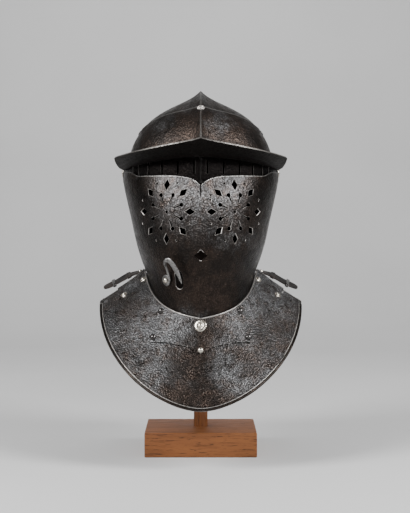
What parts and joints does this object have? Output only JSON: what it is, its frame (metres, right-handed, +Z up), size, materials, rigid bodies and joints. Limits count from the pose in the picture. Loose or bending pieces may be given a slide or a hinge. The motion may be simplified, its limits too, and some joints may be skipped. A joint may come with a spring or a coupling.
{
  "type": "armet on wooden stand",
  "caption": "Closed cuirassier helmet with a peaked visor, a pierced face guard and flared gorget plates, on a plain wooden post and block.",
  "frame": {"origin": "centre of the wooden block's underside", "axes": "+Z up along the post, the face towards -Y, +X to the right as one looks at the face"},
  "size_m": [0.274, 0.308, 0.492],
  "materials": {
    "dark_steel": "blackened and pitted, with a dull sheen",
    "worn_steel": "worn bright",
    "leather": "old and stiff",
    "wood": "satin reddish hardwood"
  },
  "bodies": {
    "stand_and_skull": {"stand_block": "wood", "stand_post": "wood", "skull": "dark_steel", "rear_gorget": "dark_steel", "pivot_rivet_left": "worn_steel", "pivot_rivet_right": "worn_steel", "side_rivet_left": "worn_steel", "side_rivet_right": "worn_steel", "latch_rivet": "worn_steel", "latch_stud": "dark_steel", "strap_left": "leather", "strap_right": "leather", "strap_rivet_left": "worn_steel", "strap_rivet_right": "worn_steel", "strap_stud_left": "worn_steel", "strap_stud_right": "worn_steel"},
    "face_guard": {"face_guard": "dark_steel", "gorget_collar": "dark_steel", "gorget_front": "dark_steel", "gorget_rivet_middle": "worn_steel", "gorget_rivet_point": "worn_steel", "gorget_rivet_neck_left": "worn_steel", "gorget_rivet_neck_right": "worn_steel", "gorget_rivet_shoulder_left": "worn_steel", "gorget_rivet_shoulder_right": "worn_steel", "gorget_rivet_upper_left": "dark_steel", "gorget_rivet_upper_right": "dark_steel", "gorget_rivet_cusp_left": "dark_steel", "gorget_rivet_cusp_right": "dark_steel", "hook_rivet": "worn_steel"},
    "visor": {"visor": "dark_steel", "visor_nub": "worn_steel"},
    "hook": {"cheek_hook": "dark_steel"}
  },
  "joints": [
    {"name": "face_guard_lift", "type": "hinge", "parent": "stand_and_skull", "child": "face_guard", "pos_m": [0, 0, 0.38], "axis": [-1, 0, 0], "range_deg": [0, 50]},
    {"name": "visor_lift", "type": "hinge", "parent": "face_guard", "child": "visor", "pos_m": [0, 0, 0.38], "axis": [-1, 0, 0], "range_deg": [0, 38]},
    {"name": "hook_turn", "type": "hinge", "parent": "face_guard", "child": "hook", "pos_m": [-0.044, -0.09062, 0.238], "axis": [-0.7422, -0.6503, -0.1619], "range_deg": [0, 70]}
  ]
}
